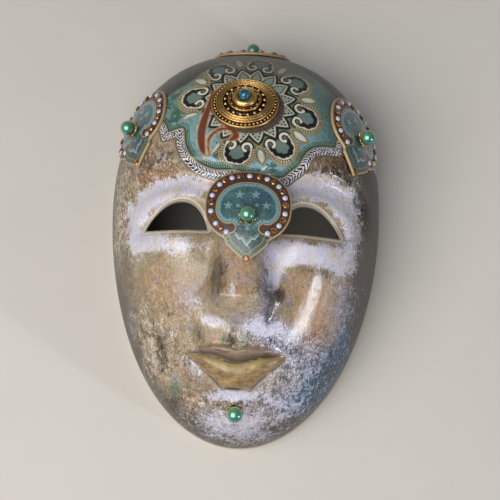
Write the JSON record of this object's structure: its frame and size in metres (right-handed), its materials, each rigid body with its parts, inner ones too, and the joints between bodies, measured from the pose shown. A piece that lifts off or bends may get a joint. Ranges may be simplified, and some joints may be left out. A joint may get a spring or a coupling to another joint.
{
  "type": "carnival face mask",
  "caption": "Full-face hollow carnival mask with open eyes, a gilt forehead boss, pearl-set medallions and a lace print.",
  "frame": {"origin": "middle of the whole part's footprint, on the flat back edge it lies on", "axes": "+Z out of the face (up as it lies), +Y from the chin to the forehead, +X to a viewer's right"},
  "size_m": [0.1668, 0.2496, 0.1239],
  "materials": {
    "shell": "layered paper, gessoed, leafed in mottled champagne gold and white, printed teal forehead, glossy varnish",
    "gilt": "antiqued gilt metal",
    "turquoise": "opaque blue glass cabochon",
    "card": "printed and varnished card, dark brown ring and teal middle",
    "amber": "foiled amber rhinestone",
    "opal": "milky white glass stud",
    "pearl": "green pearl lustre on a glass bead"
  },
  "bodies": {
    "root": {"mask_shell": "shell", "forehead_boss": "gilt", "boss_stone": "turquoise", "middle_medallion": "card", "left_medallion": "card", "right_medallion": "card", "top_medallion": "card", "opal_stud_01": "opal", "amber_stud_02": "amber", "opal_stud_03": "opal", "amber_stud_04": "amber", "opal_stud_05": "opal", "amber_stud_06": "amber", "opal_stud_07": "opal", "amber_stud_08": "amber", "opal_stud_09": "opal", "amber_stud_10": "amber", "opal_stud_11": "opal", "amber_stud_12": "amber", "opal_stud_13": "opal", "amber_stud_14": "amber", "opal_stud_15": "opal", "amber_stud_16": "amber", "opal_stud_17": "opal", "amber_stud_18": "amber", "opal_stud_19": "opal", "amber_stud_20": "amber", "opal_stud_21": "opal", "amber_stud_22": "amber", "opal_stud_23": "opal", "amber_stud_24": "amber", "opal_stud_25": "opal", "amber_stud_26": "amber", "middle_pearl_cap": "gilt", "middle_pearl": "pearl", "left_pearl_cap": "gilt", "left_pearl": "pearl", "right_pearl_cap": "gilt", "right_pearl": "pearl", "top_pearl_cap": "gilt", "top_pearl": "pearl", "chin_pearl_cap": "gilt", "chin_pearl": "pearl"}
  },
  "joints": []
}
